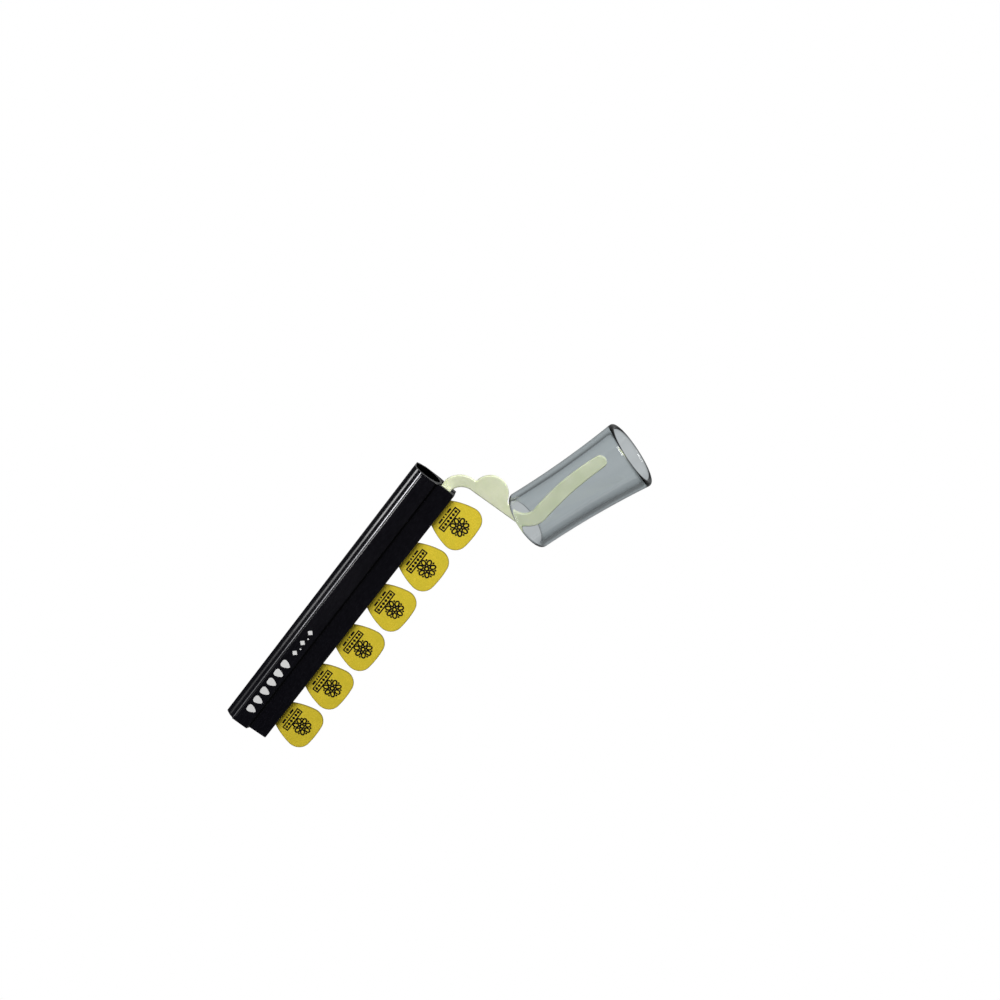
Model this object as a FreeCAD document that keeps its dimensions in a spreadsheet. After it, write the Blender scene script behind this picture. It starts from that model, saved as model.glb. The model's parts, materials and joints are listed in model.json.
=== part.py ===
import FreeCAD, Part
import math
import os

import Sketcher

os.makedirs("parts", exist_ok=True)

# Pick holder for a microphone stand, in millimetres, +Z up along the stand's tube.
# The origin is the middle of the clip, on the axis of the tube that it grips.
# +X points from the tube to the row of picks. The profile is the same on both sides of the XZ plane.
# The holder is one long extrusion: an open clip, and beside it a hollow channel with a slot along its
# outer edge. Two soft strips line the slot and pinch the picks. A flat hook stands in the channel's top
# end, and a glass bottleneck slide hangs over the hook's prong.

doc = FreeCAD.newDocument("pick_holder")

DIMENSIONS = {
    # extrusion
    "strip_length": 173.0,
    "tube_radius": 7.94,
    "clip_wall": 1.5,
    "arm_tip_radius": 0.78,
    "mouth_half_angle": 35.0,
    "flat_depth": 9.7,
    "ridge_x": -3.15,
    "ridge_width": 0.75,
    "ridge_chamfer_width": 0.55,
    "ridge_chamfer_height": 0.38,
    "ridge_groove": 0.64,
    "ridge_groove_depth": 0.22,
    "bevel_start_x": 6.6,
    "bevel_end_x": 7.8,
    "channel_depth": 6.8,
    "channel_end_depth": 6.2,
    "channel_end_x": 18.15,
    "corner_round": 0.8,
    "cavity_depth": 5.2,
    "cavity_end_depth": 4.85,
    "lip_thickness": 2.7,
    "slot_half": 0.82,
    "slot_flare": 0.3,
    # soft strips in the slot
    "grip_groove_x": 16.1,
    "grip_width": 1.5,
    "grip_groove_depth": 0.9,
    "grip_gap_half": 0.385,
    "grip_edge": 0.2,
    # picks
    "pick_pitch": 29.0,
    "first_pick_drop": 12.8,
    "pick_back_x": 39.8,
    "pick_length": 30.0,
    "pick_thickness": 0.73,
    "pick_back_radius": 55.0,
    "pick_side_radius": 40.0,
    "pick_side_center_in": 2.04,
    "pick_side_center_off": 26.5,
    "pick_shoulder_radius": 7.4,
    "pick_tip_radius": 4.8,
    # hook, with heights from the top end of the extrusion
    "hook_thickness": 3.0,
    "hook_left_x": 9.65,
    "hook_right_x": 15.3,
    "hook_root": -2.0,
    "foot_width": 9.4,
    "foot_rise": 0.8,
    "foot_depth_outer": 5.5,
    "foot_depth_inner": 9.5,
    "neck_height": 3.0,
    "neck_radius": 11.5,
    "shoulder_x": 19.5,
    "shoulder_height": 11.9,
    "disc_start_x": 22.65,
    "disc_start_height": 12.3,
    "disc_radius": 9.75,
    "disc_end_x": 41.78,
    "disc_end_height": 14.0,
    "seat_start_x": 42.7,
    "seat_height": 12.9,
    "seat_end_x": 48.8,
    "seat_radius": 7.2,
    "prong_inner_x": 55.6,
    "prong_inner_height": 20.6,
    "prong_inner_radius": 133.0,
    "tip_inner_x": 63.2,
    "tip_inner_height": 61.0,
    "tip_radius": 3.65,
    "tip_outer_x": 70.3,
    "tip_outer_height": 60.2,
    "prong_outer_radius": 200.0,
    "prong_outer_x": 63.6,
    "prong_outer_height": 20.5,
    "bend_radius": 12.5,
    "arm_end_x": 52.3,
    "arm_end_height": 7.7,
    "arm_start_x": 24.5,
    "arm_start_height": 6.8,
    "throat_radius": 8.8,
    "throat_height": 0.3,
    # glass slide, with its position from the top end of the extrusion
    "slide_length": 67.2,
    "slide_foot_radius": 16.45,
    "slide_head_radius": 18.5,
    "slide_wall": 3.3,
    "slide_rim_radius": 1.652,
    "slide_flare_radius": 510.0,
    "slide_x": 56.95,
    "slide_y": 3.2,
    "slide_height": 10.75,
    "slide_tilt": 16.2,
    "slide_lean": 12.1,
}
PICK_COUNT = 6
CCW = 1
CW = -1

sheet = doc.addObject("Spreadsheet::Sheet", "dims")
for row, (alias, value) in enumerate(DIMENSIONS.items(), start=1):
    sheet.set(f"A{row}", alias)
    sheet.set(f"B{row}", str(value))
    sheet.setAlias(f"B{row}", alias)
doc.recompute()


def number(expression):
    """The value that an expression has now."""
    return float(sheet.evalExpression(expression))


def bind(item, **expressions):
    """Binds properties of an object to expressions, with __ for the dot in a property's path."""
    for path, expression in expressions.items():
        item.setExpression(path.replace("__", "."), expression)


def new_body(label):
    body = doc.addObject("PartDesign::Body", label)
    body.Label = label
    return body


def new_sketch(body, plane, name):
    """A sketch on one of the body's own origin planes."""
    sketch = body.newObject("Sketcher::SketchObject", name)
    support = next(item for item in body.Origin.OriginFeatures if item.Role == plane)
    sketch.AttachmentSupport = (support, [""])
    sketch.MapMode = "FlatFace"
    return sketch


def arc_between(start, end, radius, turn):
    """The arc of that radius from start to end, the shorter way, turning CCW or CW."""
    chord = end - start
    half = chord.Length / 2
    across = FreeCAD.Vector(-chord.y, chord.x, 0).normalize()
    reach = math.sqrt(max(radius**2 - half**2, 0.0))
    middle = (start + end) / 2 - across * turn * (radius - reach)
    return Part.Arc(start, middle, end)


def draw_outline(sketch, corners):
    """A closed outline. Each corner is (x, y), or (x, y, radius, turn) where an arc leaves it.
    The sizes are expressions, and every corner and radius is bound to its own."""
    points = [FreeCAD.Vector(number(c[0]), number(c[1]), 0) for c in corners]
    count = len(corners)
    starts = []
    ends = []
    for i, corner in enumerate(corners):
        start = points[i]
        end = points[(i + 1) % count]
        if len(corner) == 2:
            index = sketch.addGeometry(Part.LineSegment(start, end), False)
        else:
            index = sketch.addGeometry(arc_between(start, end, number(corner[2]), corner[3]), False)
        backwards = len(corner) == 4 and corner[3] == CW
        starts.append((index, 2 if backwards else 1))
        ends.append((index, 1 if backwards else 2))
    for i, corner in enumerate(corners):
        sketch.addConstraint(Sketcher.Constraint("Coincident", *ends[i - 1], *starts[i]))
        across = sketch.addConstraint(Sketcher.Constraint("DistanceX", -1, 1, *starts[i], points[i].x))
        sketch.setExpression(f"Constraints[{across}]", corner[0])
        up = sketch.addConstraint(Sketcher.Constraint("DistanceY", -1, 1, *starts[i], points[i].y))
        sketch.setExpression(f"Constraints[{up}]", corner[1])
        if len(corner) == 4:
            size = sketch.addConstraint(Sketcher.Constraint("Radius", starts[i][0], number(corner[2])))
            sketch.setExpression(f"Constraints[{size}]", corner[2])
    doc.recompute()


def pad_sketch(body, sketch, name, length, midplane=False):
    pad = body.newObject("PartDesign::Pad", name)
    pad.Profile = sketch
    pad.Midplane = midplane
    pad.setExpression("Length", length)
    sketch.Visibility = False
    doc.recompute()
    return pad


def make_strip():
    """The extrusion: half of its profile, padded along Z and mirrored in the XZ plane."""
    body = new_body("holder_strip")
    outer = "(dims.tube_radius + dims.clip_wall)"
    inner = "dims.tube_radius"
    groove_end = "(dims.grip_groove_x + dims.grip_width)"
    groove_floor = "(dims.slot_half + dims.grip_groove_depth)"
    ridge_end = "dims.ridge_x + dims.ridge_width"
    wall_slope = "(dims.channel_depth - dims.channel_end_depth) / (dims.channel_end_x - dims.bevel_end_x)"
    wall_corner = f"dims.channel_end_depth + dims.corner_round * {wall_slope}"
    corners = [
        (inner, "0"),
        (outer, "0", outer, CCW),
        (f"sqrt({outer}^2 - dims.cavity_depth^2)", "dims.cavity_depth"),
        ("dims.channel_end_x - dims.lip_thickness", "dims.cavity_end_depth"),
        ("dims.channel_end_x - dims.lip_thickness", "dims.slot_half"),
        ("dims.grip_groove_x", "dims.slot_half"),
        ("dims.grip_groove_x", groove_floor),
        (groove_end, groove_floor),
        (groove_end, "dims.slot_half"),
        ("dims.channel_end_x - dims.slot_flare", "dims.slot_half"),
        ("dims.channel_end_x", "dims.slot_half + dims.slot_flare"),
        ("dims.channel_end_x", "dims.channel_end_depth - dims.corner_round", "dims.corner_round", CCW),
        ("dims.channel_end_x - dims.corner_round", wall_corner),
        ("dims.bevel_end_x", "dims.channel_depth"),
        ("dims.bevel_start_x", "dims.flat_depth"),
        (f"{ridge_end} + dims.ridge_groove", "dims.flat_depth"),
        (f"{ridge_end} + dims.ridge_groove / 2", "dims.flat_depth - dims.ridge_groove_depth"),
        (ridge_end, "dims.flat_depth"),
        ("dims.ridge_x + dims.ridge_chamfer_width", "dims.flat_depth"),
        ("dims.ridge_x", "dims.flat_depth - dims.ridge_chamfer_height"),
        ("dims.ridge_x", f"sqrt({outer}^2 - dims.ridge_x^2)", outer, CCW),
        (
            f"-{outer} * cos(dims.mouth_half_angle)",
            f"{outer} * sin(dims.mouth_half_angle)",
            "dims.arm_tip_radius",
            CCW,
        ),
        (
            f"-{inner} * cos(dims.mouth_half_angle)",
            f"{inner} * sin(dims.mouth_half_angle)",
            inner,
            CW,
        ),
    ]
    sketch = new_sketch(body, "XY_Plane", "strip_profile")
    draw_outline(sketch, corners)
    pad = pad_sketch(body, sketch, "strip_pad", "dims.strip_length")
    mirror = body.newObject("PartDesign::Mirrored", "strip_mirror")
    mirror.Originals = [pad]
    mirror.MirrorPlane = (sketch, ["H_Axis"])
    body.Tip = mirror
    bind(body, Placement__Base__z="-dims.strip_length / 2")
    return body


def make_grip(label, side):
    """One soft strip in its groove. side is 1 behind the picks and -1 in front of them."""
    body = new_body(label)
    left = "dims.grip_groove_x"
    right = "(dims.grip_groove_x + dims.grip_width)"
    floor = f"{side} * (dims.slot_half + dims.grip_groove_depth)"
    crest = f"{side} * dims.grip_gap_half"
    edge = f"{side} * (dims.grip_gap_half + dims.grip_edge)"
    corners = [
        (left, floor),
        (left, edge),
        (f"{left} + dims.grip_edge", crest),
        (f"{right} - dims.grip_edge", crest),
        (right, edge),
        (right, floor),
    ]
    sketch = new_sketch(body, "XY_Plane", f"{label}_profile")
    draw_outline(sketch, corners)
    pad_sketch(body, sketch, f"{label}_pad", "dims.strip_length")
    bind(body, Placement__Base__z="-dims.strip_length / 2")
    return body


def make_hook():
    """The flat hook in the XZ plane, and the thicker foot that plugs the channel's top end."""
    body = new_body("slide_hook")
    plate = [
        ("dims.hook_left_x", "dims.hook_root"),
        ("dims.hook_left_x", "dims.neck_height", "dims.neck_radius", CW),
        ("dims.shoulder_x", "dims.shoulder_height"),
        ("dims.disc_start_x", "dims.disc_start_height", "dims.disc_radius", CW),
        ("dims.disc_end_x", "dims.disc_end_height"),
        ("dims.seat_start_x", "dims.seat_height"),
        ("dims.seat_end_x", "dims.seat_height", "dims.seat_radius", CCW),
        ("dims.prong_inner_x", "dims.prong_inner_height", "dims.prong_inner_radius", CW),
        ("dims.tip_inner_x", "dims.tip_inner_height", "dims.tip_radius", CW),
        ("dims.tip_outer_x", "dims.tip_outer_height", "dims.prong_outer_radius", CCW),
        ("dims.prong_outer_x", "dims.prong_outer_height", "dims.bend_radius", CW),
        ("dims.arm_end_x", "dims.arm_end_height"),
        ("dims.arm_start_x", "dims.arm_start_height", "dims.throat_radius", CCW),
        ("dims.hook_right_x", "dims.throat_height"),
        ("dims.hook_right_x", "dims.hook_root"),
    ]
    plate_sketch = new_sketch(body, "XZ_Plane", "hook_outline")
    draw_outline(plate_sketch, plate)
    pad_sketch(body, plate_sketch, "hook_plate", "dims.hook_thickness", midplane=True)
    foot = [
        ("dims.hook_left_x", "dims.foot_rise"),
        ("dims.hook_right_x", "dims.foot_rise"),
        ("dims.hook_right_x", "-dims.foot_depth_outer"),
        ("dims.hook_left_x", "-dims.foot_depth_inner"),
    ]
    foot_sketch = new_sketch(body, "XZ_Plane", "foot_outline")
    draw_outline(foot_sketch, foot)
    pad_sketch(body, foot_sketch, "hook_foot", "dims.foot_width", midplane=True)
    bind(body, Placement__Base__z="dims.strip_length / 2")
    return body


def make_glass_slide():
    """The flared tube: a section turned about its own axis, then tilted to hang on the prong."""
    body = new_body("glass_slide")
    rim = "dims.slide_rim_radius"
    head = f"dims.slide_length - {rim}"
    section = [
        ("dims.slide_foot_radius - dims.slide_wall", rim, rim, CCW),
        ("dims.slide_foot_radius", rim, "dims.slide_flare_radius", CW),
        ("dims.slide_head_radius", head, rim, CCW),
        ("dims.slide_head_radius - dims.slide_wall", head, "dims.slide_flare_radius", CCW),
    ]
    sketch = new_sketch(body, "XZ_Plane", "slide_section")
    draw_outline(sketch, section)
    turned = body.newObject("PartDesign::Revolution", "slide_turned")
    turned.Profile = sketch
    turned.ReferenceAxis = (sketch, ["V_Axis"])
    turned.Angle = 360
    sketch.Visibility = False
    tilt = math.radians(number("dims.slide_tilt"))
    lean = math.radians(number("dims.slide_lean"))
    along = FreeCAD.Vector(math.tan(tilt), -math.tan(lean), 1)
    body.Placement = FreeCAD.Placement(FreeCAD.Vector(), FreeCAD.Rotation(FreeCAD.Vector(0, 0, 1), along))
    bind(
        body,
        Placement__Base__x="dims.slide_x",
        Placement__Base__y="dims.slide_y",
        Placement__Base__z="dims.strip_length / 2 + dims.slide_height",
    )
    return body


def make_disc(name, radius, center_x, center_z):
    """A flat round disc in the XZ plane, as thick as a pick."""
    disc = doc.addObject("Part::Cylinder", name)
    disc.Placement = FreeCAD.Placement(FreeCAD.Vector(), FreeCAD.Rotation(FreeCAD.Vector(1, 0, 0), -90))
    bind(
        disc,
        Radius=radius,
        Height="dims.pick_thickness",
        Placement__Base__x=center_x,
        Placement__Base__y="-dims.pick_thickness / 2",
        Placement__Base__z=center_z,
    )
    return disc


def make_pick(number_from_top):
    """A pick: what three large discs share, with its shoulders and its tip rounded."""
    label = f"pick_{number_from_top}"
    drop = f"(dims.first_pick_drop + {number_from_top - 1} * dims.pick_pitch)"
    middle = f"dims.strip_length / 2 - {drop}"
    side_x = "dims.pick_back_x - dims.pick_side_center_in"
    back_x = "dims.pick_back_x - dims.pick_back_radius"
    side_off = "dims.pick_side_center_off"
    discs = [
        make_disc(f"{label}_back", "dims.pick_back_radius", back_x, middle),
        make_disc(f"{label}_upper", "dims.pick_side_radius", side_x, f"{middle} - {side_off}"),
        make_disc(f"{label}_lower", "dims.pick_side_radius", side_x, f"{middle} + {side_off}"),
    ]
    shared = doc.addObject("Part::MultiCommon", f"{label}_blank")
    shared.Shapes = discs
    doc.recompute()
    tip_x = number("dims.pick_back_x - dims.pick_length / 2")
    rounds = []
    for i, edge in enumerate(shared.Shape.Edges, start=1):
        ends = [vertex.Point for vertex in edge.Vertexes]
        if len(ends) == 2 and abs(ends[0].y - ends[1].y) > number("dims.pick_thickness") / 2:
            is_tip = edge.CenterOfMass.x < tip_x
            radius = number("dims.pick_tip_radius" if is_tip else "dims.pick_shoulder_radius")
            rounds.append((i, radius, radius))
    pick = doc.addObject("Part::Fillet", label)
    pick.Base = shared
    pick.Edges = rounds
    pick.Label = label
    return pick


sub_parts = [
    make_strip(),
    make_grip("front_grip", -1),
    make_grip("rear_grip", 1),
    make_hook(),
    make_glass_slide(),
]
sub_parts += [make_pick(i) for i in range(1, PICK_COUNT + 1)]
doc.recompute()

for item in doc.Objects:
    if "Invalid" in item.State or "Error" in item.State:
        raise RuntimeError(f"{item.Label} did not recompute: {item.State}")
for part in sub_parts:
    if part.Shape.isNull() or not part.Shape.isValid() or len(part.Shape.Solids) != 1:
        raise RuntimeError(f"{part.Label} is not one valid solid")
for part in sub_parts:
    part.Shape.exportStep(f"parts/{part.Label}.step")
    box = part.Shape.BoundBox
    print(
        f"{part.Label}: {part.Shape.Volume:.1f} mm3, "
        f"x {box.XMin:.2f} {box.XMax:.2f}, y {box.YMin:.2f} {box.YMax:.2f}, z {box.ZMin:.2f} {box.ZMax:.2f}"
    )
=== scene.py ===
import json
import math

import bmesh
import bpy
from mathutils import Matrix, Vector, noise


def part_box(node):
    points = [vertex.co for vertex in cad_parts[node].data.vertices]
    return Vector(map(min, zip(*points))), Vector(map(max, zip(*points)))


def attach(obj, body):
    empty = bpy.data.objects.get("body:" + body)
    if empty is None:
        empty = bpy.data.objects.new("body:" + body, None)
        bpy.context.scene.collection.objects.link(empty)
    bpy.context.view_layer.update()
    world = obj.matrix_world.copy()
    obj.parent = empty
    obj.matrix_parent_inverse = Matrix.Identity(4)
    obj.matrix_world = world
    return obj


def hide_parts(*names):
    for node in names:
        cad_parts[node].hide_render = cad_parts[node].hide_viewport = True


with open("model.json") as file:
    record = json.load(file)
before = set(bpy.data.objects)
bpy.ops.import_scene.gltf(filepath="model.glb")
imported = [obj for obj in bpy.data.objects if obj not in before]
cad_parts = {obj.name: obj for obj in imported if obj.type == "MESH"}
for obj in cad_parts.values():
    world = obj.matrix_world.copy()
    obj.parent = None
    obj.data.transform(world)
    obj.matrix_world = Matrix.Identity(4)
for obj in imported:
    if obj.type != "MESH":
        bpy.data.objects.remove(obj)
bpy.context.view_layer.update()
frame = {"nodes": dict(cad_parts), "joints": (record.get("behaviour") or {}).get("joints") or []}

MM = 0.001
FRONT = Vector((0, -1, 0))
TOP = Vector((0, 0, 1))
PICKS = [name for name in frame["nodes"] if name.startswith("pick_")]
LOOKS = {}

# The strip's ridge, where its highlight is painted, stands between these two x, and further than this from
# the tube's axis in y.
RIDGE = (-3.3 * MM, -2.55 * MM)
RIDGE_DEPTH = 9.2 * MM

HOOK_THICKNESS = 3.0 * MM
HOOK_EDGE = 0.7 * MM
HOOK_CORNER = 0.75 * MM

SLIDE_WALL = 3.3 * MM
SLIDE_FOOT_RADIUS = 16.45 * MM
SLIDE_HEAD_RADIUS = 18.5 * MM
SLIDE_FLARE_RADIUS = 510 * MM
SLIDE_BORE_WAVER = 0.09 * MM
SLIDE_SIDES = 128
SLIDE_LINES = 36
SLIDE_RIM_STEPS = 12

INK_RAISED = 0.02 * MM
INK_SUNK = 0.05 * MM


# ---------------------------------------------------------------- outlines


def flat_outline(node, facing, reach=None):
    """The outline of a CAD node's flat face on that side, as points in order. reach is how far out
    the face lies, and the outermost one is meant when it isn't given."""
    mesh = bmesh.new()
    mesh.from_mesh(frame["nodes"][node].data)
    bmesh.ops.remove_doubles(mesh, verts=mesh.verts, dist=0.002 * MM)
    if reach is None:
        reach = max(vert.co.dot(facing) for vert in mesh.verts)
    level = {vert for vert in mesh.verts if abs(vert.co.dot(facing) - reach) < 0.01 * MM}
    faces = [face for face in mesh.faces if all(vert in level for vert in face.verts)]
    flat = set(faces)
    following = {}
    for face in faces:
        for loop in face.loops:
            if not any(other is not face and other in flat for other in loop.edge.link_faces):
                following[loop.vert] = loop.link_loop_next.vert
    start = next(iter(following))
    points = [start.co.copy()]
    at = following[start]
    while at is not start:
        points.append(at.co.copy())
        at = following[at]
    mesh.free()
    return points


def turn_at(points, i):
    """How far an outline turns at a point, in radians."""
    before = points[i] - points[i - 1]
    after = points[(i + 1) % len(points)] - points[i]
    return before.angle(after, 0.0)


def round_corners(points, radius, sharpest=17, steps=5):
    """Replaces each corner that turns by more than sharpest degrees with a small curve."""
    rounded = []
    for i, point in enumerate(points):
        turn = turn_at(points, i)
        if turn < math.radians(sharpest):
            rounded.append(point)
            continue
        before = points[i - 1]
        after = points[(i + 1) % len(points)]
        cut = radius * math.tan(turn / 2)
        start = point.lerp(before, min(0.45, cut / (before - point).length))
        end = point.lerp(after, min(0.45, cut / (after - point).length))
        for step in range(steps + 1):
            t = step / steps
            rounded.append(start.lerp(point, t).lerp(point.lerp(end, t), t))
    return rounded


def divide_long(points, longest):
    """Adds points so that no side of the outline is longer than longest."""
    divided = []
    for i, point in enumerate(points):
        after = points[(i + 1) % len(points)]
        count = max(1, math.ceil((after - point).length / longest))
        divided += [point.lerp(after, k / count) for k in range(count)]
    return divided


def inward(points, facing):
    """For each point of an outline, the step into the shape that offsets it evenly by one."""
    area = Vector()
    for i, point in enumerate(points):
        area += (point - points[0]).cross(points[(i + 1) % len(points)] - points[0])
    side = 1 if area.dot(facing) > 0 else -1
    steps = []
    for i, point in enumerate(points):
        before = facing.cross((point - points[i - 1]).normalized()) * side
        after = facing.cross((points[(i + 1) % len(points)] - point).normalized()) * side
        middle = (before + after).normalized()
        steps.append(middle / max(0.5, middle.dot(after)))
    return steps


# ---------------------------------------------------------------- solids


def join_rings(mesh, rings, closed=False):
    """Quads between rings of points. The ends are capped unless the rings close on themselves."""
    made = [[mesh.verts.new(point) for point in ring] for ring in rings]
    pairs = list(zip(made, made[1:]))
    if closed:
        pairs.append((made[-1], made[0]))
    for low, high in pairs:
        for i in range(len(low)):
            k = (i + 1) % len(low)
            mesh.faces.new((low[i], low[k], high[k], high[i]))
    if not closed:
        caps = [mesh.faces.new(made[0]), mesh.faces.new(made[-1])]
        bmesh.ops.triangulate(mesh, faces=caps)


def slab(mesh, points, facing, near, far, edge, steps=4, stations=1, waver=0.0, land=0.0):
    """A solid with that outline, from near to far along facing, with its rims rounded by edge.
    waver moves the walls in and out a little along the length. land adds a ring on each flat end,
    that far in from the outline."""
    flat = [point - facing * point.dot(facing) for point in points]
    into = inward(points, facing)
    levels = [(near, land)] if land else []
    for step in range(steps + 1):
        angle = math.pi / 2 * step / steps
        levels.append((near + edge * (1 - math.cos(angle)), edge * (1 - math.sin(angle))))
    rims = list(levels)
    for station in range(1, stations):
        levels.append((near + edge + (far - near - 2 * edge) * station / stations, 0.0))
    levels += [(near + far - level, inset) for level, inset in reversed(rims)]
    rings = []
    for level, inset in levels:
        ring = []
        for point, step_in in zip(flat, into):
            place = point + facing * level
            offset = inset
            if waver:
                slow = Vector((place.x * 60, place.y * 60, place.z * 25))
                offset += waver * (1 + noise.noise(slow)) / 2
            ring.append(place + step_in * offset)
        rings.append(ring)
    join_rings(mesh, rings)


def add_piece(name, mesh, body, slot, sharp=38, even=True):
    """Makes a piece of a finished mesh, with its material, its body and its slot. It is shaded smooth
    but for edges sharper than that angle in degrees, and even keeps its flat faces flat."""
    bmesh.ops.recalc_face_normals(mesh, faces=mesh.faces)
    data = bpy.data.meshes.new(name)
    mesh.to_mesh(data)
    mesh.free()
    piece = bpy.data.objects.new(name, data)
    bpy.context.scene.collection.objects.link(piece)
    data.materials.append(LOOKS[slot])
    data.shade_smooth()
    data.set_sharp_from_angle(angle=math.radians(sharp))
    if even:
        normals = piece.modifiers.new("even_normals", "WEIGHTED_NORMAL")
        normals.keep_sharp = True
    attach(piece, body)
    return piece


# ---------------------------------------------------------------- materials


def new_material(name, color, roughness, ior=1.5):
    """A new material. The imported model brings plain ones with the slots' names, so this name differs."""
    material = bpy.data.materials.new(name + "_look")
    LOOKS[name] = material
    material.use_nodes = True
    shader = material.node_tree.nodes["Principled BSDF"]
    shader.inputs["Base Color"].default_value = (*color, 1)
    shader.inputs["Roughness"].default_value = roughness
    shader.inputs["IOR"].default_value = ior
    material.diffuse_color = (*color, 1)
    return material


def shader_of(material):
    return material.node_tree.nodes["Principled BSDF"]


def add_noise(material, scale, stretch=(1, 1, 1), detail=3.0, rough=0.6):
    """A noise pattern in the object's own space. scale is its grain per metre."""
    tree = material.node_tree
    place = tree.nodes.new("ShaderNodeTexCoord")
    mapping = tree.nodes.new("ShaderNodeMapping")
    mapping.inputs["Scale"].default_value = stretch
    pattern = tree.nodes.new("ShaderNodeTexNoise")
    pattern.inputs["Scale"].default_value = scale
    pattern.inputs["Detail"].default_value = detail
    pattern.inputs["Roughness"].default_value = rough
    tree.links.new(place.outputs["Object"], mapping.inputs["Vector"])
    tree.links.new(mapping.outputs["Vector"], pattern.inputs["Vector"])
    return pattern.outputs["Fac"]


def ramp(material, source, stops):
    """Colours along a pattern's value. Each stop is (value, colour)."""
    tree = material.node_tree
    node = tree.nodes.new("ShaderNodeValToRGB")
    node.color_ramp.elements[0].position = stops[0][0]
    node.color_ramp.elements[0].color = (*stops[0][1], 1)
    node.color_ramp.elements[1].position = stops[-1][0]
    node.color_ramp.elements[1].color = (*stops[-1][1], 1)
    for value, color in stops[1:-1]:
        node.color_ramp.elements.new(value).color = (*color, 1)
    tree.links.new(source, node.inputs["Fac"])
    return node.outputs["Color"]


def grey(value):
    return (value, value, value)


def mix_colors(material, source, first, second):
    """Mixes two colours by a pattern. Each colour is a socket or three numbers."""
    tree = material.node_tree
    node = tree.nodes.new("ShaderNodeMix")
    node.data_type = "RGBA"
    tree.links.new(source, node.inputs["Factor"])
    for name, color in (("A", first), ("B", second)):
        socket = next(s for s in node.inputs if s.name == name and s.type == "RGBA")
        if isinstance(color, tuple):
            socket.default_value = (*color, 1)
        else:
            tree.links.new(color, socket)
    return next(s for s in node.outputs if s.type == "RGBA")


def fade(tree, source, from_low, from_high, low, high):
    """Maps a value from one range to another, and holds it at the ends."""
    node = tree.nodes.new("ShaderNodeMapRange")
    node.inputs["From Min"].default_value = from_low
    node.inputs["From Max"].default_value = from_high
    node.inputs["To Min"].default_value = low
    node.inputs["To Max"].default_value = high
    tree.links.new(source, node.inputs["Value"])
    return node.outputs["Result"]


def set_roughness(material, source, low, high):
    """Roughness that follows a noise pattern from low to high."""
    value = fade(material.node_tree, source, 0.3, 0.7, low, high)
    material.node_tree.links.new(value, shader_of(material).inputs["Roughness"])


def roughen_where(material, source, value):
    """Moves the roughness that is already linked towards a value where the source is 1."""
    tree = material.node_tree
    rough = shader_of(material).inputs["Roughness"]
    node = tree.nodes.new("ShaderNodeMapRange")
    tree.links.new(source, node.inputs["Value"])
    tree.links.new(rough.links[0].from_socket, node.inputs["To Min"])
    node.inputs["To Max"].default_value = value
    tree.links.new(node.outputs["Result"], rough)


def add_bump(material, source, depth, strength):
    """Raises the surface by a pattern. Bumps stack, each on the one before."""
    tree = material.node_tree
    shader = shader_of(material)
    node = tree.nodes.new("ShaderNodeBump")
    node.inputs["Strength"].default_value = strength
    node.inputs["Distance"].default_value = depth
    if shader.inputs["Normal"].links:
        tree.links.new(shader.inputs["Normal"].links[0].from_socket, node.inputs["Normal"])
    tree.links.new(source, node.inputs["Height"])
    tree.links.new(node.outputs["Normal"], shader.inputs["Normal"])


def link_color(material, source):
    material.node_tree.links.new(source, shader_of(material).inputs["Base Color"])


def attribute(material, name):
    """A value that the mesh carries at its points."""
    node = material.node_tree.nodes.new("ShaderNodeAttribute")
    node.attribute_name = name
    return node.outputs["Fac"]


def make_strip_plastic():
    """Extruded black plastic: draw lines along its length, a little dust, a painted highlight on the ridge
    (a brighter, metallic colour there), and duller sawn ends."""
    material = new_material("strip_plastic", (0.0016, 0.0015, 0.0022), 0.15, 1.46)
    shader_of(material).inputs["Specular IOR Level"].default_value = 0.36
    lines = add_noise(material, 2600, (1, 1, 0.012), 4.0, 0.7)
    grain = add_noise(material, 1500, (1, 1, 0.25), 3.0, 0.7)
    clouds = add_noise(material, 45, (1, 1, 0.4), 4.0, 0.6)
    dust = add_noise(material, 3800, (1, 1, 1), 1.0, 0.5)
    saw = add_noise(material, 1900, (0.15, 1, 1), 2.0, 0.7)
    worn = ramp(material, grain, [(0.45, (0.0012, 0.0011, 0.0018)), (0.78, (0.0034, 0.0033, 0.0046))])
    dusty = ramp(material, dust, [(0.72, grey(0)), (0.84, grey(1))])
    faces = mix_colors(material, dusty, worn, (0.016, 0.016, 0.019))
    ends = ramp(material, saw, [(0.35, grey(0.007)), (0.7, grey(0.019))])
    # Painted highlight: the ridge gets a brighter, metallic colour, so its glint shows stronger.
    ridge_highlight_mask = attribute(material, "ridge_highlight_mask")
    painted_ridge_highlight = mix_colors(material, ridge_highlight_mask, faces, (0.085, 0.085, 0.09))
    link_color(material, mix_colors(material, attribute(material, "sawn_end"), painted_ridge_highlight, ends))
    tree = material.node_tree
    tree.links.new(fade(tree, ridge_highlight_mask, 0, 1, 0, 0.85), shader_of(material).inputs["Metallic"])
    set_roughness(material, clouds, 0.11, 0.19)
    roughen_where(material, attribute(material, "sawn_end"), 0.75)
    add_bump(material, lines, 0.010 * MM, 0.6)
    add_bump(material, grain, 0.008 * MM, 0.4)


def make_grip_vinyl():
    """Soft dull black vinyl with fine pores."""
    material = new_material("grip_vinyl", (0.02, 0.02, 0.021), 0.62, 1.48)
    pores = add_noise(material, 2500, (1, 1, 0.2))
    link_color(material, ramp(material, pores, [(0.3, grey(0.012)), (0.75, grey(0.03))]))
    set_roughness(material, pores, 0.55, 0.75)
    add_bump(material, pores, 0.03 * MM, 0.5)


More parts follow.
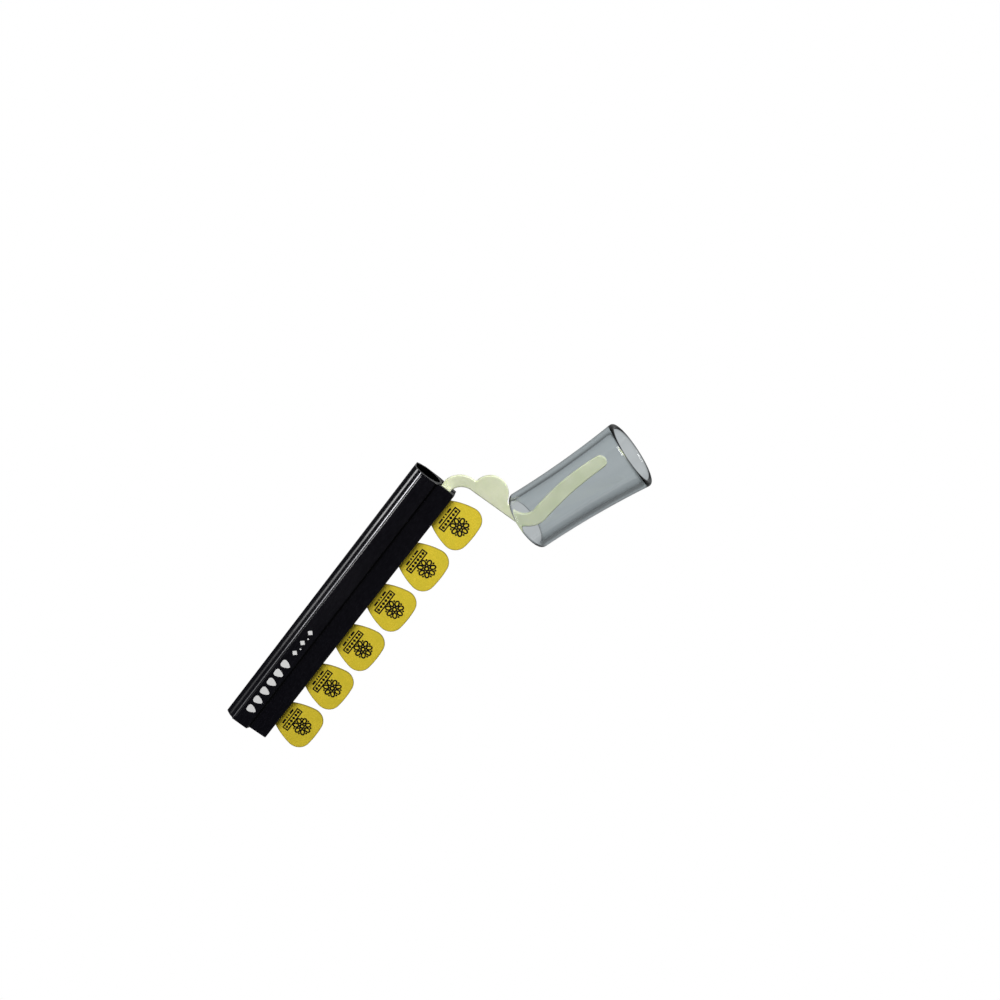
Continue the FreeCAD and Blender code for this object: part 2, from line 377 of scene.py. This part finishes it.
def make_hook_plastic():
    """Pale glow-in-the-dark plastic: cloudy, slightly translucent, with a soft sheen."""
    material = new_material("hook_plastic", (0.72, 0.76, 0.55), 0.42, 1.49)
    shader = shader_of(material)
    shader.inputs["Subsurface Weight"].default_value = 0.35
    shader.inputs["Subsurface Radius"].default_value = (0.9, 1.0, 0.6)
    shader.inputs["Subsurface Scale"].default_value = 1.2 * MM
    clouds = add_noise(material, 130, (1, 1, 1), 4.0, 0.6)
    specks = add_noise(material, 2400, (1, 1, 1), 2.0, 0.6)
    base = ramp(material, clouds, [(0.3, (0.66, 0.705, 0.49)), (0.7, (0.76, 0.79, 0.585))])
    speckled = ramp(material, specks, [(0.62, grey(0)), (0.8, grey(0.5))])
    link_color(material, mix_colors(material, speckled, base, (0.60, 0.65, 0.42)))
    set_roughness(material, clouds, 0.34, 0.50)
    add_bump(material, specks, 0.015 * MM, 0.4)


def make_slide_glass():
    """Thick clear glass with faint drawn ripples. It is greyer where more of it is looked through."""
    material = new_material("slide_glass", (0.96, 0.97, 0.975), 0.0, 1.47)
    shader = shader_of(material)
    shader.inputs["Transmission Weight"].default_value = 1.0
    smears = add_noise(material, 220, (1, 1, 0.2), 4.0, 0.6)
    ripples = add_noise(material, 40, (1, 1, 0.25), 1.0, 0.5)
    link_color(material, ramp(material, smears, [(0.35, (0.95, 0.965, 0.975)), (0.75, (0.975, 0.98, 0.98))]))
    add_bump(material, ripples, 0.02 * MM, 0.5)
    tree = material.node_tree
    depth = tree.nodes.new("ShaderNodeVolumeAbsorption")
    depth.inputs["Color"].default_value = (0.80, 0.835, 0.845, 1)
    depth.inputs["Density"].default_value = 260
    tree.links.new(depth.outputs["Volume"], tree.nodes["Material Output"].inputs["Volume"])


def make_pick_plastic():
    """Chalky matte plastic: fine speckle over slow olive clouds, with painted shade darkening its cut edge.
    """
    material = new_material("pick_plastic", (0.64, 0.50, 0.045), 0.7, 1.46)
    shader_of(material).inputs["Specular IOR Level"].default_value = 0.3
    speckle = add_noise(material, 2300, (1, 0.3, 1), 3.0, 0.75)
    clouds = add_noise(material, 160, (1, 1, 1), 3.0, 0.6)
    fine = ramp(material, speckle, [
        (0.32, (0.62, 0.465, 0.020)),
        (0.52, (0.79, 0.61, 0.034)),
        (0.74, (0.92, 0.75, 0.075)),
    ])
    olive = ramp(material, clouds, [(0.38, grey(0)), (0.7, grey(0.55))])
    base = mix_colors(material, olive, fine, (0.66, 0.54, 0.030))
    # Painted shade: the cut edge is darkened to a brown olive.
    link_color(material, mix_colors(material, attribute(material, "edge_painted_shade"), base, (0.20, 0.155, 0.014)))
    set_roughness(material, speckle, 0.62, 0.85)
    add_bump(material, speckle, 0.03 * MM, 0.6)


def make_ink(name, color, worn_color):
    """Screen-printed ink, thinner in places."""
    material = new_material(name, color, 0.5, 1.5)
    shader_of(material).inputs["Specular IOR Level"].default_value = 0.25
    wear = add_noise(material, 1800, (1, 1, 1), 3.0, 0.7)
    link_color(material, ramp(material, wear, [(0.55, color), (0.8, worn_color)]))
    set_roughness(material, wear, 0.4, 0.65)
    add_bump(material, wear, 0.01 * MM, 0.5)


make_strip_plastic()
make_grip_vinyl()
make_hook_plastic()
make_slide_glass()
make_pick_plastic()
make_ink("print_ink", (0.004, 0.003, 0.004), (0.03, 0.022, 0.008))
make_ink("mark_ink", (0.90, 0.90, 0.89), (0.74, 0.74, 0.73))


# ---------------------------------------------------------------- pieces


def mark_points(piece, name, value_at):
    """Gives each point of a piece a value that its material can read."""
    values = piece.data.attributes.new(name, "FLOAT", "POINT")
    for vert, value in zip(piece.data.vertices, values.data):
        value.value = float(value_at(vert.co))


def make_strip():
    """The extrusion, with its corners eased and its walls a little uneven along the length."""
    low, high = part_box("holder_strip")
    outline = round_corners(flat_outline("holder_strip", TOP), 0.38 * MM)
    outline = divide_long(outline, 1.2 * MM)
    mesh = bmesh.new()
    slab(mesh, outline, TOP, low.z, high.z, 0.10 * MM, steps=2, stations=70, waver=0.03 * MM)
    piece = add_piece("strip", mesh, "holder", "strip_plastic")
    mark_points(piece, "sawn_end", lambda place: place.z in (low.z, high.z))
    # The ridge is marked for the painted highlight.
    crest_low, crest_high = RIDGE
    mark_points(
        piece, "ridge_highlight_mask",
        lambda place: crest_low < place.x < crest_high and abs(place.y) > RIDGE_DEPTH,
    )
    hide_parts("holder_strip")


def make_grips():
    """The two soft strips in the channel's lips, a little uneven along the length."""
    for node in ("front_grip", "rear_grip"):
        low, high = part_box(node)
        outline = round_corners(flat_outline(node, TOP), 0.12 * MM)
        mesh = bmesh.new()
        slab(mesh, outline, TOP, low.z, high.z, 0.05 * MM, steps=2, stations=60, waver=0.02 * MM)
        piece = add_piece(node + "_strip", mesh, "holder", "grip_vinyl")
        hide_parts(node)


def make_hook():
    """The flat plate with softly rounded rims, and the foot that it runs down into."""
    low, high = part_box("slide_hook")
    half = HOOK_THICKNESS / 2
    foot_points = flat_outline("slide_hook", FRONT)
    foot_top = max(point.z for point in foot_points)
    plate_points = flat_outline("slide_hook", FRONT, half)
    # The plate's lower end lies along the foot's top, so it is moved down into the foot.
    for point in plate_points:
        if point.z < foot_top + 0.05 * MM:
            point.z = foot_top - 2 * MM
    plate_points = [
        point for i, point in enumerate(plate_points)
        if (point - plate_points[i - 1]).length > 0.01 * MM
    ]
    plate_points = divide_long(round_corners(plate_points, HOOK_CORNER), 1.5 * MM)
    mesh = bmesh.new()
    slab(mesh, plate_points, FRONT, -half, half, HOOK_EDGE, steps=5)
    slab(mesh, round_corners(foot_points, 0.5 * MM), FRONT, low.y, high.y, 0.3 * MM, steps=3)
    piece = add_piece("hook", mesh, "hook", "hook_plastic")
    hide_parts("slide_hook")


def make_slide():
    """The flared glass tube with round rims, turned about the axis that it lifts off along. Its bore
    is a little uneven."""
    joint = next(j for j in frame["joints"] if j["name"] == "slide_lift")
    axis = Vector(joint["axis"]).normalized()
    turn = TOP.rotation_difference(axis).to_matrix()
    corners = [turn.inverted() @ vert.co for vert in frame["nodes"]["glass_slide"].data.vertices]
    low = Vector(min(corner[i] for corner in corners) for i in range(3))
    high = Vector(max(corner[i] for corner in corners) for i in range(3))
    centre = (low + high) / 2
    length = high.z - low.z
    rim = SLIDE_WALL / 2
    profile = []
    for step in range(SLIDE_LINES + 1):
        up = rim + (length - 2 * rim) * step / SLIDE_LINES
        profile.append((slide_radius(up, length), up))
    for step in range(1, SLIDE_RIM_STEPS):
        angle = math.pi * step / SLIDE_RIM_STEPS
        middle = slide_radius(length - rim, length) - rim
        profile.append((middle + rim * math.cos(angle), length - rim + rim * math.sin(angle)))
    for step in range(SLIDE_LINES + 1):
        up = length - rim - (length - 2 * rim) * step / SLIDE_LINES
        profile.append((slide_radius(up, length) - SLIDE_WALL, up))
    for step in range(1, SLIDE_RIM_STEPS):
        angle = math.pi * step / SLIDE_RIM_STEPS
        middle = slide_radius(rim, length) - rim
        profile.append((middle - rim * math.cos(angle), rim - rim * math.sin(angle)))
    mesh = bmesh.new()
    rings = []
    place = Matrix.Translation(turn @ Vector((centre.x, centre.y, low.z))) @ turn.to_4x4()
    for side in range(SLIDE_SIDES):
        angle = 2 * math.pi * side / SLIDE_SIDES
        ring = []
        for radius, up in profile:
            inner = radius < slide_radius(up, length) - rim
            shake = noise.noise(Vector((math.cos(angle) * 1.3, math.sin(angle) * 1.3, up * 45)))
            if inner:
                radius -= SLIDE_BORE_WAVER * (1 + shake)
            ring.append(place @ Vector((radius * math.cos(angle), radius * math.sin(angle), up)))
        rings.append(ring)
    join_rings(mesh, rings, closed=True)
    piece = add_piece("glass_tube", mesh, "slide", "slide_glass", sharp=60, even=False)
    # The prong inside is then lit as if the glass weren't there.
    piece.visible_shadow = False
    piece.visible_diffuse = False
    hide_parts("glass_slide")


def slide_radius(up, length):
    """The slide's outer radius at a height above its foot end."""
    straight = SLIDE_FOOT_RADIUS + (SLIDE_HEAD_RADIUS - SLIDE_FOOT_RADIUS) * up / length
    return straight - up * (length - up) / (2 * SLIDE_FLARE_RADIUS)


def make_pick(node):
    """A pick with tumbled edges. Its rim is marked for the material's painted shade, fading in over the
    land.
    """
    low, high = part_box(node)
    outline = divide_long(flat_outline(node, FRONT), 0.8 * MM)
    mesh = bmesh.new()
    slab(mesh, outline, FRONT, low.y, high.y, 0.2 * MM, steps=4, stations=2, land=0.75 * MM)
    piece = add_piece(node + "_body", mesh, node, "pick_plastic")
    rings = len(piece.data.vertices) // len(outline)
    # The rim's painted shade: none on the flat faces, full on the cut edge.
    values = piece.data.attributes.new("edge_painted_shade", "FLOAT", "POINT")
    for index, value in enumerate(values.data):
        ring = index // len(outline)
        from_face = min(ring, rings - 1 - ring)
        value.value = min(1.0, 0.5 * from_face)
    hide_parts(node)


# ---------------------------------------------------------------- printed ornaments


def oval(across, along, count=28):
    return [
        (across * math.cos(2 * math.pi * i / count), along * math.sin(2 * math.pi * i / count))
        for i in range(count)
    ]


def box_shape(width, height):
    x, y = width / 2, height / 2
    return [(-x, -y), (x, -y), (x, y), (-x, y)]


def diamond(reach):
    return [(-reach, 0), (0, -reach), (reach, 0), (0, reach)]


def moved(shape, across, along, turn=0.0):
    """A shape turned about its own middle and then moved."""
    c, s = math.cos(turn), math.sin(turn)
    return [(across + x * c - y * s, along + x * s + y * c) for x, y in shape]


def device_shapes():
    """A plain ornament in millimetres, (out from the strip, along the strip).
    Each entry is an outer outline and an inner one, or None where it is solid."""
    shapes = []
    flower, petals, petal_reach, diamond_reach = 2.3, 7, 3.5, 4.75
    for petal in range(petals):
        angle = 2 * math.pi * petal / petals
        place = (flower + petal_reach * math.cos(angle), petal_reach * math.sin(angle), angle)
        shapes.append((moved(oval(1.95, 1.5), *place), moved(oval(1.05, 0.62), *place)))
        angle += math.pi / petals
        place = (flower + diamond_reach * math.cos(angle), diamond_reach * math.sin(angle), angle)
        shapes.append((moved(diamond(0.7), *place), None))
    shapes.append((moved(oval(1.6, 1.6), flower, 0), moved(oval(0.6, 0.6), flower, 0)))
    band, diamonds, pitch = -4.3, 6, 2.2
    shapes.append((moved(box_shape(3.8, 14.8), band, 0), moved(box_shape(2.3, 13.3), band, 0)))
    for k in range(diamonds):
        shapes.append((moved(diamond(1.05), band, pitch * (k - (diamonds - 1) / 2)), None))
    bars = -7.4
    for along, length in ((-3.6, 3.0), (-0.9, 0.9), (0.9, 0.9), (3.6, 3.0)):
        shapes.append((moved(box_shape(1.05, length), bars, along), None))
    return shapes


def mark_shapes():
    """A row of six small picks, then three diamonds with dots between them, in millimetres
    (out from the tube's axis, along the strip)."""
    outline = flat_outline("pick_1", FRONT)
    middle = sum(outline, Vector()) / len(outline)
    scale = 5.1 / 30 / MM
    pick = [((middle - point).x * scale, (point - middle).z * scale) for point in outline]
    first_pick, pick_pitch = -75.2, 6.55
    first_diamond, first_dot, pitch = -33.9, -30.3, 7.2
    shapes = []
    for k in range(6):
        shapes.append((moved(pick, 2.05, first_pick + pick_pitch * k), None))
    for k in range(3):
        shapes.append((moved(diamond(1.6), 2.4, first_diamond + pitch * k), None))
    for k in range(2):
        shapes.append((moved(oval(0.45, 0.45), 3.6, first_dot + pitch * k), None))
    return shapes


def print_shapes(name, shapes, centre, body, slot):
    """Flat shapes as a thin layer of ink on a face that looks to the front. centre is on the face."""
    mesh = bmesh.new()
    raised = FRONT * INK_RAISED
    sunk = -FRONT * INK_SUNK
    for outer, inner in shapes:
        outside = [centre + Vector((x, 0, z)) * MM for x, z in outer]
        if inner:
            inside = [centre + Vector((x, 0, z)) * MM for x, z in inner]
            rings = [
                [point + raised for point in outside],
                [point + raised for point in inside],
                [point + sunk for point in inside],
                [point + sunk for point in outside],
            ]
            join_rings(mesh, rings, closed=True)
        else:
            rings = [[point + raised for point in outside], [point + sunk for point in outside]]
            join_rings(mesh, rings)
    add_piece(name, mesh, body, slot, even=False)


def print_device(node):
    """The ornament on the middle of what shows of a pick."""
    low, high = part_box(node)
    strip_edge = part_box("holder_strip")[1].x
    centre = Vector(((strip_edge + high.x) / 2 - 0.6 * MM, low.y, (low.z + high.z) / 2))
    print_shapes(node + "_print", device_shapes(), centre, node, "print_ink")


def print_mark():
    """The ornament on the strip's flat face."""
    low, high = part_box("holder_strip")
    centre = Vector((0, low.y, (low.z + high.z) / 2))
    print_shapes("strip_mark", mark_shapes(), centre, "holder", "mark_ink")


make_strip()
print_mark()
make_grips()
make_hook()
make_slide()
for pick in PICKS:
    make_pick(pick)
    print_device(pick)


# ---------------------------------------------------------------- floor, light and camera


def white_to_camera(tree, other):
    """A shader that the camera sees as plain white, and everything else as the other shader."""
    white = tree.nodes.new("ShaderNodeEmission")
    path = tree.nodes.new("ShaderNodeLightPath")
    choose = tree.nodes.new("ShaderNodeMixShader")
    tree.links.new(path.outputs["Is Camera Ray"], choose.inputs["Fac"])
    tree.links.new(other, choose.inputs[1])
    tree.links.new(white.outputs["Emission"], choose.inputs[2])
    return choose.outputs["Shader"]


def make_floor():
    """White paper that starts behind the object. It reflects light, and the camera sees plain white."""
    mesh = bmesh.new()
    bmesh.ops.create_grid(mesh, x_segments=2, y_segments=2, size=1.6)
    data = bpy.data.meshes.new("floor")
    mesh.to_mesh(data)
    mesh.free()
    floor = bpy.data.objects.new("floor", data)
    bpy.context.scene.collection.objects.link(floor)
    floor.location = (0.05, 1.70, -0.17)
    material = new_material("floor_paper", (0.85, 0.85, 0.85), 0.8)
    fibres = add_noise(material, 400)
    link_color(material, ramp(material, fibres, [(0.3, grey(0.82)), (0.7, grey(0.88))]))
    tree = material.node_tree
    paper = shader_of(material).outputs["BSDF"]
    tree.links.new(white_to_camera(tree, paper), tree.nodes["Material Output"].inputs["Surface"])
    data.materials.append(material)
    # The glass then shows the world's grey and not the paper's edge.
    floor.visible_transmission = False


def soft_light(name, place, aim, width, height, watts):
    """A rectangular white light at a place, turned to the point that it aims at."""
    data = bpy.data.lights.new(name, "AREA")
    data.shape = "RECTANGLE"
    data.size = width
    data.size_y = height
    data.energy = watts
    light = bpy.data.objects.new(name, data)
    bpy.context.scene.collection.objects.link(light)
    light.location = place
    light.rotation_mode = "QUATERNION"
    light.rotation_quaternion = (Vector(place) - Vector(aim)).to_track_quat("Z", "Y")
    return light


def keep_to(light, names):
    """Flags a light off from all but some pieces."""
    lit = bpy.data.collections.new(light.name + "_lit")
    for name in names:
        lit.objects.link(bpy.data.objects[name])
    light.light_linking.receiver_collection = lit


def make_lights():
    """Four lights that only draw the strip's highlights, and four for the whole object. The one at the
    back is kept off the glass, whose rims it would burn out."""
    left = (("upper", -0.05, 0.30, 2.3), ("middle", -0.30, 0.20, 0.66), ("lower", -0.49, 0.18, 0.14))
    for name, height, tall, watts in left:
        place = (-0.733, -0.32, height)
        light = soft_light(f"left_{name}_softbox", place, (0, 0, height), 0.14, tall, watts)
        keep_to(light, ["strip"])
    ridge_light = soft_light("ridge_softbox", (-0.32, -0.73, -0.12), (0, 0, -0.12), 0.24, 0.36, 8)
    keep_to(ridge_light, ["strip"])
    soft_light("right_softbox", (0.65, -0.36, -0.28), (0, 0, 0), 0.12, 1.1, 0.35)
    soft_light("front_softbox", (-0.40, -0.85, 0.75), (0.03, 0, 0), 0.6, 0.6, 14)
    soft_light("top_softbox", (0.05, -0.40, 0.95), (0.03, 0, 0), 0.5, 0.3, 1.5)
    back_light = soft_light("back_softbox", (0.35, 0.9, 0.8), (0.03, 0, 0.05), 0.8, 0.8, 9)
    keep_to(back_light, ["strip", "hook"] + [name + "_body" for name in PICKS])


def make_world():
    """White where the camera looks past the object. Reflections see it dim in front and bright behind.
    Through the glass it is grey, and darker away from the main directions."""
    world = bpy.data.worlds.new("studio")
    world.use_nodes = True
    tree = world.node_tree
    surroundings = tree.nodes["Background"]
    surroundings.inputs["Color"].default_value = (0.97, 0.99, 1.0, 1)
    place = tree.nodes.new("ShaderNodeTexCoord")
    split = tree.nodes.new("ShaderNodeSeparateXYZ")
    tree.links.new(place.outputs["Generated"], split.inputs["Vector"])
    sizes = tree.nodes.new("ShaderNodeVectorMath")
    sizes.operation = "ABSOLUTE"
    tree.links.new(place.outputs["Generated"], sizes.inputs[0])
    split_sizes = tree.nodes.new("ShaderNodeSeparateXYZ")
    tree.links.new(sizes.outputs["Vector"], split_sizes.inputs["Vector"])
    largest = split_sizes.outputs["X"]
    for axis in ("Y", "Z"):
        larger = tree.nodes.new("ShaderNodeMath")
        larger.operation = "MAXIMUM"
        tree.links.new(largest, larger.inputs[0])
        tree.links.new(split_sizes.outputs[axis], larger.inputs[1])
        largest = larger.outputs["Value"]
    reflected = fade(tree, split.outputs["Y"], 0.15, 0.95, 0.03, 0.30)
    through = fade(tree, largest, 0.75, 0.96, 0.20, 0.60)
    path = tree.nodes.new("ShaderNodeLightPath")
    choose = tree.nodes.new("ShaderNodeMix")
    tree.links.new(path.outputs["Is Transmission Ray"], choose.inputs["Factor"])
    tree.links.new(reflected, choose.inputs["A"])
    tree.links.new(through, choose.inputs["B"])
    tree.links.new(choose.outputs["Result"], surroundings.inputs["Strength"])
    shown = white_to_camera(tree, surroundings.outputs["Background"])
    tree.links.new(shown, tree.nodes["World Output"].inputs["Surface"])
    bpy.context.scene.world = world


def make_camera(place, heading, tilt, roll, lens):
    """heading turns from +Y towards +X, tilt is upward, and roll leans the object's top to the right."""
    forward = Vector((
        math.sin(heading) * math.cos(tilt),
        math.cos(heading) * math.cos(tilt),
        math.sin(tilt),
    ))
    level = forward.cross(TOP).normalized()
    upright = level.cross(forward)
    up = upright * math.cos(roll) - level * math.sin(roll)
    right = forward.cross(up)
    camera = bpy.data.objects.new("camera", bpy.data.cameras.new("camera"))
    camera.data.lens = lens
    camera.data.sensor_width = 36
    camera.data.clip_start = 0.01
    camera.data.clip_end = 50
    camera.matrix_world = Matrix.Translation(place) @ Matrix((right, up, -forward)).transposed().to_4x4()
    bpy.context.scene.collection.objects.link(camera)
    bpy.context.scene.camera = camera


make_floor()
make_world()
make_lights()
make_camera(
    Vector((-5.3, -460.2, 184.6)) * MM,
    math.radians(5.44),
    math.radians(-10.57),
    math.radians(38.48),
    32.4,
)
bpy.context.scene.view_settings.view_transform = "Standard"
